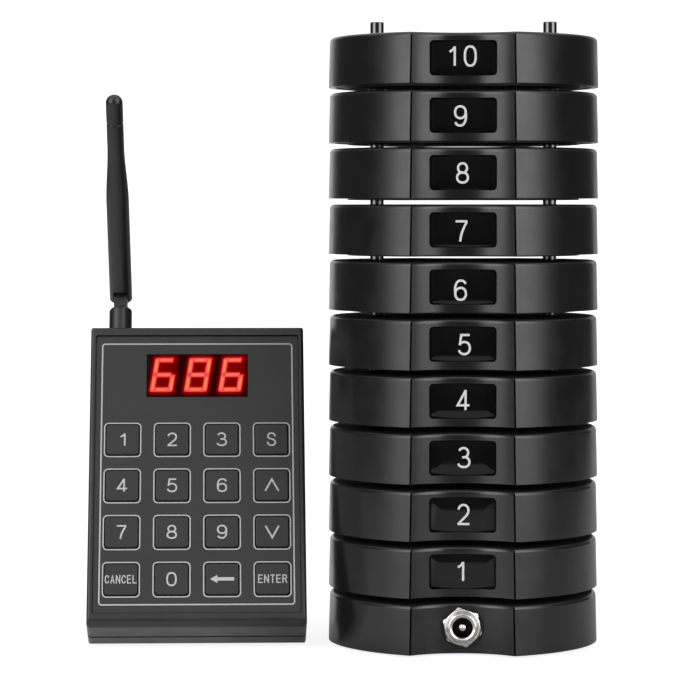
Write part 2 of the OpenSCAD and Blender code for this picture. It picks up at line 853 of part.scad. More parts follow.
module key_holes() {
    at_keys() round_rect(key_hole_w, key_hole_w, key_hole_r);
}

module display_hole(gap) {
    translate([0, display_z]) round_rect(display_w + 2 * gap, display_h + 2 * gap, 0.4);
}

module at_screws() {
    for (x = [-1, 1], z = [screw_z0, screw_z1])
        translate([x * (tx_w / 2 - screw_in), z]) children();
}

module at_board_pillars() {
    for (x = [-1, 1], z = [keypad_z - key_pitch, keypad_z + key_pitch])
        translate([x * key_pitch, z]) children();
}

module at_rubber_feet() {
    for (x = [-1, 1], z = [foot_end, tx_l - foot_end])
        translate([x * (tx_w / 2 - foot_side), z]) children();
}

module socket_plan(gap) {
    translate([socket_x - socket_w / 2 - gap, -tx_t + board_back_d - gap])
        square([socket_w + 2 * gap, socket_d + 2 * gap]);
}

module tx_case_front() {
    color(case_grey) on_table() difference() {
        tx_outside();
        upright(-seam_y, far) square(far * 2, center = true);
        difference() {
            layer(inner_d, tx_t) case_plan(tx_wall);
            layer(inner_d - 1, tx_t - seam_y) at_screws() circle(boss_r);
            layer(inner_d - 1, board_d) at_board_pillars() circle(post_pillar_r);
            layer(inner_d - 1, board_back_d + stake_out) at_board_pillars() circle(board_stake_r);
        }
        layer(tx_t - seam_y - tongue_l - tongue_gap, tx_t) case_plan(seam_d - tongue_gap);
        layer(-1, wall_d) panel_plan(0);
        layer(-1, inner_d + 1) key_holes();
        layer(-1, inner_d + 1) display_hole(window_step);
        layer(tx_t - seam_y - screw_bite - 1, tx_t) at_screws() circle(screw_r + seat_gap);
        translate([-ant_x, -tx_t + ant_y, tx_l / 2]) cylinder(r = neck_r + run_gap, h = far);
        translate([0, 0, tx_l - tx_wall - 1]) linear_extrude(far) socket_plan(socket_gap);
    }
}

module leg_bay(gap) {
    z0 = leg_z - leg_l - leg_foot_r - leg_gap;
    z1 = leg_z + norm([heel_l, leg_t / 2]) + leg_gap;
    half = leg_w / 2 + leg_gap;
    cube_between([-half - gap, -bay_d - (gap > 0 ? bay_floor : 0), z0 - gap],
                 [half + gap, 1, z1 + gap]);
}

module tx_case_back() {
    color(case_grey) on_table() difference() {
        union() {
            difference() {
                tx_outside();
                upright(-far, -tx_back_d) square(far * 2, center = true);
            }
            difference() {
                upright(-seam_y - tongue_l, -tx_back_d + 1) case_plan(seam_d);
                upright(-seam_y - tongue_l - 1, -tx_back_d + 2) case_plan(tx_wall - tongue_gap);
            }
            upright(-seam_y + tongue_gap, -tx_back_d + 1) at_screws() circle(boss_r);
        }
        difference() {
            upright(-seam_y - tongue_l - 1, -tx_wall) case_plan(tx_wall);
            upright(-seam_y + tongue_gap, 0) at_screws() circle(boss_r);
            leg_bay(bay_wall);
        }
        leg_bay(0);
        translate([0, -leg_in, leg_z]) rotate([0, 90, 0])
            cylinder(r = leg_pin_r + run_gap, h = leg_w + 2 * leg_pin_l + 2 * leg_gap, center = true);
        upright(-far, far) at_screws() circle(screw_r + seat_gap);
        upright(-screw_head_t - screw_sink, far)
            at_screws() circle(screw_head_r + screw_head_gap);
        upright(-foot_seat, far) at_rubber_feet() circle(foot_r + cover_gap);
        translate([0, 0, tx_l - tx_wall - 1]) linear_extrude(far) socket_plan(socket_gap);
    }
}

module tx_face_panel() {
    color(case_grey) on_table() layer(panel_d, wall_d) difference() {
        panel_plan(panel_gap);
        key_holes();
        display_hole(0);
    }
}

module tx_display_lens() {
    color(lens_red) on_table() layer(lens_d, wall_d) display_hole(-lens_gap);
}

module tx_display_module() {
    color(plate_black) on_table() layer(wall_d, board_d)
        translate([0, display_z])
            square([display_w - 2 * module_in, display_h - 2 * module_in], center = true);
}

module tx_keypad_mat() {
    h = 4 * key_pitch - 3;
    color(rubber_black) on_table() {
        layer(mat_d, board_d) difference() {
            translate([0, keypad_z]) round_rect(h, h, 2);
            at_board_pillars() circle(post_pillar_r + mat_gap);
        }
        layer(dome_d, mat_d + eps) at_keys() circle(dome_r);
    }
}

module tx_main_board() {
    color(board_green) on_table() {
        layer(board_d, board_back_d) difference() {
            translate([-board_w / 2, board_z0]) square([board_w, board_z1 - board_z0]);
            at_board_pillars() circle(board_stake_r + seat_gap);
        }
        layer(board_back_d - eps, board_back_d + chip_h) {
            translate([-7, keypad_z + 12]) square(14);
            translate([-26, display_z - 12]) square([10, 8]);
            translate([8, keypad_z + 36]) square([8, 6]);
        }
    }
}

module tx_power_socket() {
    mid_y = -tx_t + board_back_d + socket_d / 2;
    top = tx_l - socket_sink;
    color(rubber_black) on_table() {
        difference() {
            translate([0, 0, top - socket_l]) linear_extrude(socket_l) socket_plan(0);
            translate([socket_x, mid_y, top - socket_l + 2]) cylinder(r = socket_bore_r, h = socket_l);
        }
        translate([socket_x, mid_y, top - socket_l + 1]) cylinder(r = socket_pin_r, h = socket_l - 2);
    }
}

module tx_case_screws() {
    color(screw_steel) on_table() difference() {
        union() {
            upright(-screw_head_t - screw_sink, -screw_sink) at_screws() circle(screw_head_r);
            upright(-seam_y - screw_bite, -screw_head_t) at_screws() circle(screw_r);
        }
        upright(-screw_sink - screw_head_t / 2, far) at_screws() {
            square([screw_head_r, screw_head_r / 4], center = true);
            square([screw_head_r / 4, screw_head_r], center = true);
        }
    }
}

module tx_rubber_feet() {
    color(rubber_black) on_table()
        upright(-foot_seat, foot_t - foot_seat) at_rubber_feet() circle(foot_r);
}

module one_key(k) {
    i = k % 4;
    j = floor(k / 4);
    color(key_grey) on_table() translate([(i - 1.5) * key_pitch, 0, keypad_z + (1.5 - j) * key_pitch]) {
        intersection() {
            upright(-far, far) round_rect(key_w, key_w, key_r);
            translate([-key_w / 2, -tx_t + key_top_d, -far])
                linear_extrude(2 * far)
                    four_corner_rect(key_w, lip_d - key_top_d + 1, [key_edge_r, key_edge_r, eps, eps]);
            rotate([90, 0, 90]) translate([-tx_t + key_top_d, -key_w / 2, -far])
                linear_extrude(2 * far)
                    four_corner_rect(lip_d - key_top_d + 1, key_w, [key_edge_r, eps, eps, key_edge_r]);
        }
        layer(lip_d, lip_d + key_lip_t) round_rect(key_lip_w, key_lip_w, key_r);
    }
}

// ---------------------------------------------------------------- antenna

module on_antenna_axis() {
    on_table() translate([-ant_x, -tx_t + ant_y, 0]) rotate([0, 0, ant_turn]) children();
}

module antenna_base() {
    clip_z = tx_l - tx_wall - turn_gap - neck_clip_t;
    color(rubber_black) on_antenna_axis() difference() {
        union() {
            translate([0, 0, tx_l + turn_gap])
                edged_rod(ant_base_r, ant_base_l - turn_gap, ant_edge_r);
            translate([0, 0, clip_z]) cylinder(r = neck_r, h = tx_l + ant_edge_r - clip_z);
            translate([0, 0, clip_z]) cylinder(r = neck_r + neck_clip_w, h = neck_clip_t);
            translate([0, 0, ant_hinge_z]) rotate([0, 90, 0])
                cylinder(r = ant_tongue_r, h = ant_tongue_w, center = true);
            translate([-ant_tongue_w / 2, -ant_tongue_r, ant_shoulder - 1])
                cube([ant_tongue_w, 2 * ant_tongue_r, hinge_up + 1]);
        }
        translate([0, 0, ant_hinge_z]) rotate([0, 90, 0])
            cylinder(r = ant_pin_r + run_gap, h = far, center = true);
    }
}

// The whip narrows along a smooth S between its lower and its upper part.
function whip_radius(t) = whip_r + (whip_tip_r - whip_r) * t * t * (3 - 2 * t);

module whip_profile() {
    top_z = whip_l - whip_tip_r;
    rim_z = cheek_edge_r - cheek_drop;
    steps = 12;
    translate([0, -cheek_drop]) square([whip_r - cheek_edge_r, 2 * cheek_edge_r]);
    translate([whip_r - cheek_edge_r, rim_z]) circle(cheek_edge_r);
    polygon(concat([[0, rim_z], [whip_r, rim_z]],
                   [for (i = [0:steps])
                       [whip_radius(i / steps), taper_z0 + (taper_z1 - taper_z0) * i / steps]],
                   [[whip_tip_r, top_z], [0, top_z]]));
    intersection() {
        translate([0, top_z]) circle(whip_tip_r);
        square([far, far]);
    }
}

module antenna_whip() {
    slot_w = ant_tongue_w + 2 * cheek_gap;
    slot_top = ant_tongue_r + 2 * cheek_gap;
    ring_z = whip_l - ring_drop;
    on_antenna_axis() translate([0, 0, ant_hinge_z]) rotate([whip_tilt, 0, 0]) {
        color(rubber_black) difference() {
            rotate_extrude() whip_profile();
            cube_between([-slot_w / 2, -far, -far], [slot_w / 2, far, slot_top]);
            rotate_extrude() translate([whip_tip_r, ring_z]) circle(ring_r);
            rotate([0, 90, 0]) cylinder(r = ant_pin_r + bond_gap, h = far, center = true);
        }
        color(nickel) rotate([0, 90, 0])
            cylinder(r = ant_pin_r, h = 2 * ant_pin_l, center = true);
    }
}

// ---------------------------------------------------------------- prop leg

module prop_leg() {
    color(case_grey) on_table() translate([0, -leg_in, leg_z]) rotate([leg_open, 0, 0]) {
        difference() {
            union() {
                translate([-leg_w / 2, -leg_t / 2, -leg_l]) cube([leg_w, leg_t, leg_l + heel_l]);
                translate([0, 0, -leg_l]) rotate([0, 90, 0])
                    cylinder(r = leg_foot_r, h = leg_w, center = true);
            }
            for (s = [-1, 1])
                translate([s * leg_w / 5, 0, -leg_l / 2])
                    rotate([90, 0, 0]) linear_extrude(far) round_rect(3, leg_l * 0.6, 1.4);
            translate([0, 0, -leg_l - leg_foot_r]) rotate([90, 0, 0])
                cylinder(r = nick_r, h = far, center = true);
        }
        rotate([0, 90, 0]) cylinder(r = leg_pin_r, h = leg_w + 2 * leg_pin_l, center = true);
    }
}

// ---------------------------------------------------------------- assembly

dock_shell();
dock_cover();
dock_foot_pad();
dock_charge_posts();
dock_power_jack();
dock_jack_nut();
dock_board();
for (n = [1:9]) {
    pager_case(n);
    pager_works(n);
}
pager_10_shell();
pager_10_bottom_cover();
pager_10_number_plate();
pager_10_charge_contacts();
pager_10_board();
pager_10_battery();
tx_case_front();
tx_case_back();
tx_face_panel();
tx_display_lens();
tx_display_module();
tx_keypad_mat();
tx_main_board();
tx_power_socket();
tx_case_screws();
tx_rubber_feet();
antenna_base();
antenna_whip();
prop_leg();
for (k = [0:15]) one_key(k);
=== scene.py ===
"""Looks of the guest pager system: finishes, printed figures, window plates, the
lit display, the jack's thread, and the studio around the object."""
import json
from math import cos, pi, radians, sin, tan

import bmesh
import bpy
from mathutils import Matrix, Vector


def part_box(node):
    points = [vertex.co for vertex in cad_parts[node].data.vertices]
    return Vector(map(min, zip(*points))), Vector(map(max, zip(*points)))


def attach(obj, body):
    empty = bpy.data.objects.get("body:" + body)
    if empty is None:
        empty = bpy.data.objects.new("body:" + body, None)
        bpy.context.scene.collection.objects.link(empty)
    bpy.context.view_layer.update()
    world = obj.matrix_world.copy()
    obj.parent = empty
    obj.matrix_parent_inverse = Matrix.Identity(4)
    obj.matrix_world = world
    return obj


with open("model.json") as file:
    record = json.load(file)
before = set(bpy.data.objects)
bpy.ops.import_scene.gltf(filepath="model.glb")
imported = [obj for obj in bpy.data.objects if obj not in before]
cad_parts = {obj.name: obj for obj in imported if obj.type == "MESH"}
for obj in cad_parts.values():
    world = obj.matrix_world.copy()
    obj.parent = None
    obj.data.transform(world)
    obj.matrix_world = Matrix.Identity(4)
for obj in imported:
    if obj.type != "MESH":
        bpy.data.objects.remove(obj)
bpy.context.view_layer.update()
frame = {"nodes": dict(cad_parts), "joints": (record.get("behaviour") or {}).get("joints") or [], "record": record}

NODES = frame["nodes"]
RECORD = frame["record"]
MM = 0.001
PAGERS = 10


# ---------------------------------------------------------------- where things are

def joint_axis(name):
    joint = next(j for j in frame["joints"] if j["name"] == name)
    return Vector(joint["axis"]).normalized()


class Plane:
    """A plane that things are drawn on, in millimetres right, up and out."""

    def __init__(self, origin, right, up):
        self.origin = Vector(origin)
        self.right = Vector(right)
        self.up = Vector(up)
        self.out = self.right.cross(self.up)

    def at(self, x, y, out):
        return self.origin + (self.right * x + self.up * y + self.out * out) * MM

    def moved(self, x, y):
        return Plane(self.at(x, y, 0), self.right, self.up)


TX_RIGHT = joint_axis("prop_leg_fold")
TX_IN = joint_axis("key_1_press")
TX_UP = joint_axis("antenna_swivel")


def reach(node, axis):
    """How far a CAD node reaches along an axis, as (lowest, highest)."""
    along = [v.co.dot(axis) for v in NODES[node].data.vertices]
    return min(along), max(along)


def face_plane(node):
    """The plane on the front of a flat transmitter piece, about its middle."""
    across, inward, upward = (reach(node, a) for a in (TX_RIGHT, TX_IN, TX_UP))
    middle = TX_RIGHT * (sum(across) / 2) + TX_UP * (sum(upward) / 2)
    return Plane(middle + TX_IN * inward[0], TX_RIGHT, TX_UP)


def window_plane(number):
    """The plane on the front of a pager's number plate."""
    low, high = (Vector(c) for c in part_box("pager_10_number_plate"))
    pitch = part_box("pager_09_case")[1][2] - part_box("pager_08_case")[1][2]
    drop = Vector((0, 0, pitch * (PAGERS - number)))
    middle = Vector((0, low.y, (low.z + high.z) / 2))
    return Plane(middle - drop, (1, 0, 0), (0, 0, 1))


# ---------------------------------------------------------------- mesh tools

def finish_piece(bm, name, material, body, smooth=False):
    bmesh.ops.recalc_face_normals(bm, faces=bm.faces)
    mesh = bpy.data.meshes.new(name)
    bm.to_mesh(mesh)
    bm.free()
    for face in mesh.polygons:
        face.use_smooth = smooth
    piece = bpy.data.objects.new(name, mesh)
    bpy.context.scene.collection.objects.link(piece)
    mesh.materials.append(material)
    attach(piece, body)
    return piece


# A mitred corner is no wider than the line divided by the first. The second is how much
# higher each further stroke of a figure lies, in millimetres.
MITRE_MIN, STROKE_STEP = 0.4, 0.003


def ribbon(bm, plane, path, width, low, high, closed=False):
    """A printed line: a flat bar along a path, with mitred corners."""
    points = [Vector(p) for p in path]
    last = len(points) - 1
    sections = []
    for i, p in enumerate(points):
        steps = []
        if i or closed:
            steps.append((p - points[i - 1]).normalized())
        if i < last or closed:
            steps.append((points[(i + 1) % len(points)] - p).normalized())
        run = sum(steps, Vector((0, 0))).normalized()
        side = Vector((-run.y, run.x))
        half = width / 2 / max(run.dot(steps[0]), MITRE_MIN)
        a, b = p + side * half, p - side * half
        sections.append([bm.verts.new(plane.at(*q, h))
                         for q, h in ((a, low), (b, low), (b, high), (a, high))])
    pairs = zip(sections, sections[1:] + sections[:1]) if closed else zip(sections, sections[1:])
    for one, two in pairs:
        for k in range(4):
            bm.faces.new((one[k], one[(k + 1) % 4], two[(k + 1) % 4], two[k]))
    if not closed:
        bm.faces.new(sections[0])
        bm.faces.new(sections[-1])


def slab(bm, plane, outline, low, high):
    """A flat plate with the given outline."""
    under = [bm.verts.new(plane.at(x, y, low)) for x, y in outline]
    over = [bm.verts.new(plane.at(x, y, high)) for x, y in outline]
    bm.faces.new(under)
    bm.faces.new(over)
    for i in range(len(outline)):
        j = (i + 1) % len(outline)
        bm.faces.new((under[i], under[j], over[j], over[i]))


def arc(cx, cy, rx, ry, start, end, steps=20, square=1.0):
    """Points along part of an oval; square below 1 fills its corners more."""
    points = []
    for i in range(steps + 1):
        t = radians(start + (end - start) * i / steps)
        c, s = cos(t), sin(t)
        points.append((cx + rx * abs(c) ** square * (1 if c >= 0 else -1),
                       cy + ry * abs(s) ** square * (1 if s >= 0 else -1)))
    return points


def smooth_line(points, steps=6):
    """A smooth curve through the points."""
    ends = [points[0]] + list(points) + [points[-1]]
    curve = []
    for p0, p1, p2, p3 in zip(ends, ends[1:], ends[2:], ends[3:]):
        for i in range(steps):
            t = i / steps
            curve.append(tuple(
                0.5 * (2 * b + (c - a) * t + (2 * a - 5 * b + 4 * c - d) * t * t
                       + (3 * b - a - 3 * c + d) * t ** 3)
                for a, b, c, d in zip(p0, p1, p2, p3)))
    return curve + [tuple(points[-1])]


def round_rect(w, h, r, steps=6):
    """A rectangle about the origin with rounded corners."""
    points = []
    for cx, cy, a in ((w / 2 - r, h / 2 - r, 0), (r - w / 2, h / 2 - r, 90),
                      (r - w / 2, r - h / 2, 180), (w / 2 - r, r - h / 2, 270)):
        points += arc(cx, cy, r, r, a, a + 90, steps)
    return points


# ---------------------------------------------------------------- figures

# Each stroke is (closed, points) in a box one wide and one high, through which
# the middle of the line runs.
RING = arc(0.5, 0.5, 0.5, 0.5, 0, 345, 23, 0.82)
SIX = [(True, arc(0.51, 0.31, 0.49, 0.31, 0, 345, 23, 0.92)),
       (False, arc(0.54, 0.5, 0.54, 0.5, 38, 192, 16, 0.86))]
FIGURES = {
    "0": [(True, RING)],
    "1": [(False, [(1, 0), (1, 1)]),
          (False, smooth_line([(0.97, 0.97), (0.62, 0.83), (0.02, 0.72)]))],
    "2": [(False, arc(0.49, 0.71, 0.46, 0.29, 172, -24, 16, 0.92)
           + smooth_line([(0.76, 0.44), (0.34, 0.2), (0.06, 0.02)])),
          (False, [(-0.06, 0), (1.04, 0)])],
    "3": [(False, arc(0.46, 0.755, 0.42, 0.245, 160, -84, 16, 0.92)),
          (False, arc(0.47, 0.265, 0.53, 0.265, 86, -163, 18, 0.92)),
          (False, [(0.32, 0.515), (0.52, 0.515)])],
    "4": [(False, [(0.73, 0), (0.73, 1.05)]),
          (False, [(0.7, 0.99), (0, 0.25), (1.08, 0.25)])],
    "5": [(False, [(0.98, 1), (0.2, 1), (0.08, 0.47)]),
          (False, arc(0.48, 0.32, 0.52, 0.32, 150, -162, 20, 0.92))],
    "6": SIX,
    "7": [(False, [(-0.05, 1), (1.04, 1)]),
          (False, smooth_line([(0.97, 0.97), (0.7, 0.64), (0.48, 0.3), (0.38, -0.05)]))],
    "8": [(True, arc(0.5, 0.757, 0.41, 0.243, 0, 345, 23, 0.92)),
          (True, arc(0.5, 0.262, 0.5, 0.262, 0, 345, 23, 0.92))],
    "9": [(closed, [(1 - x, 1 - y) for x, y in line]) for closed, line in SIX],
    "S": [(False, smooth_line([(0.94, 0.72), (0.82, 0.93), (0.5, 1), (0.18, 0.93), (0.06, 0.74),
                               (0.2, 0.59), (0.5, 0.52), (0.82, 0.43), (0.97, 0.25), (0.83, 0.06),
                               (0.5, 0), (0.15, 0.06), (0.02, 0.28)]))],
    "A": [(False, [(0, -0.06), (0.5, 1), (1, -0.06)]), (False, [(0.17, 0.32), (0.83, 0.32)])],
    "C": [(False, smooth_line([(0.98, 0.7), (0.84, 0.92), (0.5, 1), (0.14, 0.87), (0, 0.5),
                               (0.14, 0.13), (0.5, 0), (0.84, 0.08), (1, 0.3)]))],
    "E": [(False, [(1.03, 1), (0, 1), (0, 0), (1.06, 0)]), (False, [(0, 0.52), (0.95, 0.52)])],
    "L": [(False, [(0, 1.08), (0, 0), (1.05, 0)])],
    "N": [(False, [(0, -0.08), (0, 1.08)]), (False, [(0, 1), (1, 0)]),
          (False, [(1, -0.08), (1, 1.08)])],
    "R": [(False, [(0, -0.08), (0, 1), (0.55, 1)] + arc(0.6, 0.76, 0.38, 0.24, 80, -80, 8)
           + [(0.55, 0.52), (0, 0.52)]),
          (False, [(0.5, 0.52), (1.04, -0.06)])],
    "T": [(False, [(-0.05, 1), (1.05, 1)]), (False, [(0.5, 1), (0.5, -0.08)])],
}
NARROW = {"1": 0.58}


def write(bm, plane, text, height, width, stroke, gap, low, high):
    """Draws a word about the plane's origin, its figures height mm high. Each further
    stroke of a figure lies a little higher, so that crossing strokes share no plane."""
    widths = [width * NARROW.get(c, 1) for c in text]
    x = -(sum(widths) + gap * (len(text) - 1)) / 2
    for c, w in zip(text, widths):
        for k, (closed, line) in enumerate(FIGURES[c]):
            path = [(x + stroke / 2 + px * (w - stroke),
                     -height / 2 + stroke / 2 + py * (height - stroke)) for px, py in line]
            ribbon(bm, plane, path, stroke, low, high + STROKE_STEP * k, closed)
        x += w + gap


# ---------------------------------------------------------------- materials

class Shader:
    """A material under construction: its node tree and its surface shader."""

    def __init__(self, name, **settings):
        self.material = bpy.data.materials.new(name)
        self.material.use_nodes = True
        self.tree = self.material.node_tree
        self.surface = self.tree.nodes["Principled BSDF"]
        self.set(self.surface, **settings)
        self.where = self.node("ShaderNodeTexCoord").outputs["Object"]

    def node(self, kind, **settings):
        made = self.tree.nodes.new(kind)
        self.set(made, **settings)
        return made

    def set(self, node, **settings):
        for key, value in settings.items():
            socket = node.inputs.get(key.replace("_", " "))
            if socket is None:
                setattr(node, key, value)
            elif hasattr(value, "links"):
                self.tree.links.new(value, socket)
            else:
                socket.default_value = value

    def maths(self, operation, *values):
        """A number worked out from sockets and plain numbers."""
        made = self.node("ShaderNodeMath", operation=operation)
        for socket, value in zip(made.inputs, values):
            if hasattr(value, "links"):
                self.tree.links.new(value, socket)
            else:
                socket.default_value = value
        return made.outputs[0]

    def noise(self, size, detail=2.0):
        """Noise whose features are about size mm across."""
        return self.node("ShaderNodeTexNoise", Vector=self.where, Scale=1 / (size * MM),
                         Detail=detail).outputs["Fac"]

    def spread(self, fac, low, high, start=0.35, end=0.65):
        """A number that runs from low to high as the noise runs from start to end."""
        made = self.node("ShaderNodeMapRange", Value=fac)
        self.set(made, **{"From Min": start, "From Max": end, "To Min": low, "To Max": high})
        return made.outputs["Result"]

    def tint(self, fac, dark, light, start=0.35, end=0.65):
        """A colour that runs from dark to light as the noise runs from start to end."""
        ramp = self.node("ShaderNodeValToRGB", Fac=fac)
        for stop, place, colour in zip(ramp.color_ramp.elements, (start, end), (dark, light)):
            stop.position = place
            stop.color = (*colour, 1)
        return ramp.outputs["Color"]

    def bump(self, height, depth, strength=1.0, onto=None):
        """Roughens the surface by depth mm."""
        made = self.node("ShaderNodeBump", Height=height, Distance=depth * MM, Strength=strength)
        if onto:
            self.tree.links.new(onto, made.inputs["Normal"])
        return made.outputs["Normal"]

    def soft_edges(self, radius):
        """Makes edges look rounded, with a radius in mm."""
        return self.node("ShaderNodeBevel", samples=4, Radius=radius * MM).outputs["Normal"]


def shade(colour, factor):
    return tuple(c * factor for c in colour)


def moulded(name, colour, rough, grain, depth, edge=0.12, sink=0.006, **settings):
    """Moulded plastic or rubber: fine tooling grain over slow, faint sink marks."""
    patch_size, sheen_size, sink_size = 26, 9, 22
    darkest, lightest, rough_varies = 0.88, 1.12, 0.035
    s = Shader(name, **settings)
    patch = s.noise(patch_size, 3)
    s.set(s.surface, Base_Color=s.tint(patch, shade(colour, darkest), shade(colour, lightest)),
          Roughness=s.spread(s.noise(sheen_size, 4), rough - rough_varies, rough + rough_varies))
    wave = s.bump(s.noise(sink_size, 1), sink, 0.5, s.soft_edges(edge))
    s.set(s.surface, Normal=s.bump(s.noise(grain, 3), depth, 1.0, wave))
    return s.material


def metal(name, colour, rough, grain=0.5, depth=0.002):
    """Plated or drawn metal with smudges and fine marks."""
    stain_size, smudge_size, edge = 3, 1.5, 0.08
    darkest, glossiest, dullest = 0.86, 0.7, 1.5
    s = Shader(name, Metallic=1.0)
    s.set(s.surface, Base_Color=s.tint(s.noise(stain_size, 4), shade(colour, darkest), colour),
          Roughness=s.spread(s.noise(smudge_size, 4), rough * glossiest, rough * dullest))
    s.set(s.surface, Normal=s.bump(s.noise(grain, 3), depth, 0.6, s.soft_edges(edge)))
    return s.material


def turned(name, colour, rough, axis_z, pitch, depth):
    """Turned and plated: fine rings about an axis that runs front to back."""
    stain_size, smudge_size, grain, grain_depth, edge = 2, 1.5, 0.5, 0.004, 0.3
    darkest, glossiest, dullest = 0.75, 0.7, 1.4
    s = Shader(name, Metallic=1.0)
    parts = s.node("ShaderNodeSeparateXYZ", Vector=s.where).outputs
    up = s.maths("SUBTRACT", parts["Z"], axis_z)
    flat = s.node("ShaderNodeCombineXYZ", X=parts["X"], Y=up).outputs[0]
    away = s.node("ShaderNodeVectorMath", operation="LENGTH", Vector=flat).outputs["Value"]
    wave = s.maths("SINE", s.maths("MULTIPLY", away, 2 * pi / (pitch * MM)))
    s.set(s.surface, Base_Color=s.tint(s.noise(stain_size, 4), shade(colour, darkest), colour),
          Roughness=s.spread(s.noise(smudge_size, 4), rough * glossiest, rough * dullest))
    rings = s.bump(wave, depth, 1.0, s.soft_edges(edge))
    s.set(s.surface, Normal=s.bump(s.noise(grain, 3), grain_depth, 0.6, rings))
    return s.material


def ink(name, colour):
    """Screen-printed figures: even, with slightly thin and thick spots."""
    spot_size, sheen_size, grain, depth = 0.6, 0.4, 0.15, 0.003
    darkest, glossiest, dullest = 0.9, 0.42, 0.55
    s = Shader(name)
    s.set(s.surface, Base_Color=s.tint(s.noise(spot_size, 3), shade(colour, darkest), colour),
          Roughness=s.spread(s.noise(sheen_size), glossiest, dullest))
    s.set(s.surface, Normal=s.bump(s.noise(grain), depth, 0.5))
    return s.material


def lit(name, colour):
    """Light behind a diffusing window, with the faint unevenness of its grain."""
    grain, cloud_size, darkest, faintest, strongest = 0.5, 2.5, 0.93, 0.95, 1.05
    s = Shader(name, Base_Color=(0, 0, 0, 1), Roughness=0.2, Specular_IOR_Level=0.0)
    s.set(s.surface, Emission_Color=s.tint(s.noise(grain), shade(colour, darkest), colour),
          Emission_Strength=s.spread(s.noise(cloud_size), faintest, strongest))
    return s.material


def circuit(name):
    """Green lacquer over copper areas."""
    cell_size, copper_depth, track_edge = 2.2, 0.03, (0.3, 0.45)
    dark_green, light_green = (0.012, 0.075, 0.03), (0.03, 0.14, 0.055)
    s = Shader(name, Roughness=0.3)
    cell = s.node("ShaderNodeTexVoronoi", Vector=s.where, Scale=1 / (cell_size * MM))
    away = cell.outputs["Distance"]
    s.set(s.surface, Base_Color=s.tint(away, dark_green, light_green, *track_edge))
    s.set(s.surface, Normal=s.bump(away, copper_depth, 0.4))
    return s.material


BLACK = (0.0075, 0.0075, 0.0078)
CHARCOAL = (0.0135, 0.0135, 0.014)
NICKEL = (0.84, 0.82, 0.78)
JACK_Z = sum(corner[2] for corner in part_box("dock_jack_nut")) / 2
# Each finish has its roughness, then the size and depth of its grain in millimetres.
FINISH = {
    "pager_plastic": moulded("pager_plastic", BLACK, 0.23, 0.35, 0.003),
    "cover_plastic": moulded("cover_plastic", (0.03, 0.03, 0.031), 0.42, 0.3, 0.012),
    "number_plate": moulded("plate_black", (0.003, 0.003, 0.003), 0.07, 2.5, 0.001),
    # The contacts' nickel is darkened to 0.17 of its colour: painted shade, for posts that sit in the shaded gaps
    # between pagers.
    "contact_metal": metal("contact_nickel_painted_shade", shade(NICKEL, 0.17), 0.1),
    "circuit_board": circuit("circuit_board"),
    "battery_cell": metal("battery_foil", (0.7, 0.71, 0.73), 0.35, 1.2, 0.05),
    "foot_rubber": moulded("foot_rubber", (0.012, 0.012, 0.012), 0.75, 0.25, 0.02),
    "jack_metal": turned("jack_nickel", NICKEL, 0.24, JACK_Z, 1.5, 0.15),
    "case_plastic": moulded("case_plastic", CHARCOAL, 0.34, 0.25, 0.008),
    "panel_plastic": moulded("panel_plastic", CHARCOAL, 0.42, 0.25, 0.008),
    "key_plastic": moulded("key_plastic", shade(CHARCOAL, 0.8), 0.46, 0.25, 0.014),
    "display_lens": moulded("display_lens", (0.012, 0.0008, 0.0008), 0.1, 3, 0.001,
                            Specular_IOR_Level=0.06),
    "display_module": moulded("display_module", (0.03, 0.03, 0.03), 0.5, 0.3, 0.01),
    "keypad_rubber": moulded("keypad_rubber", (0.16, 0.16, 0.165), 0.6, 0.3, 0.01),
    "socket_plastic": moulded("socket_plastic", (0.012, 0.012, 0.012), 0.5, 0.3, 0.01),
    "screw_steel": metal("screw_zinc", (0.5, 0.5, 0.53), 0.3, 0.3, 0.01),
    "antenna_rubber": moulded("antenna_rubber", (0.009, 0.009, 0.0095), 0.34, 0.4, 0.004),
}
WHITE_INK = ink("white_ink", (0.64, 0.64, 0.64))
GREY_INK = ink("grey_ink", (0.4, 0.4, 0.41))
LEGEND_INK = ink("legend_ink", (0.43, 0.43, 0.44))


MICROMETRES_PER_METRE = 1e6


def solids(mesh):
    """The separate solids of a mesh, as lists of faces. Faces belong together where they
    have a corner at the same place, to a thousandth of a millimetre."""
    place = [tuple(round(c * MICROMETRES_PER_METRE) for c in v.co) for v in mesh.vertices]
    parent = {p: p for p in place}

    def root(p):
        while parent[p] != p:
            parent[p] = parent[parent[p]]
            p = parent[p]
        return p

    for face in mesh.polygons:
        first = root(place[face.vertices[0]])
        for v in face.vertices[1:]:
            other = root(place[v])
            if other != first:
                parent[other] = first
    groups = {}
    for face in mesh.polygons:
        groups.setdefault(root(place[face.vertices[0]]), []).append(face)
    return list(groups.values())


def extent(mesh, faces):
    """The width, depth and height of some faces, in millimetres."""
    corners = [mesh.vertices[v].co for face in faces for v in face.vertices]
    return [(max(c[k] for c in corners) - min(c[k] for c in corners)) / MM for k in range(3)]


def paint_solids(node, choose):
    """Gives each solid of a joined node the finish that choose(its size in mm) names."""
    mesh = NODES[node].data
    used = [sub["material_slot"] for sub in RECORD["subparts"] if sub["node"] == node]
    for faces in solids(mesh):
        name = choose(*extent(mesh, faces))
        if name not in used:
            used.append(name)
            mesh.materials.append(FINISH[name])
        for face in faces:
            face.material_index = used.index(name)


# Widths, heights and depths in millimetres that tell the solids of a joined node apart.
BODY_MIN_W, SHELL_MIN_H, PLATE_MIN_W = 80, 15, 15
BOARD_MIN_W, BATTERY_MIN_W, METAL_MAX_W, PIN_MAX_D = 60, 30, 11, 3


def case_finish(w, d, h):
    if w > BODY_MIN_W:
        return "pager_plastic" if h > SHELL_MIN_H else "cover_plastic"
    return "number_plate" if w > PLATE_MIN_W else "contact_metal"


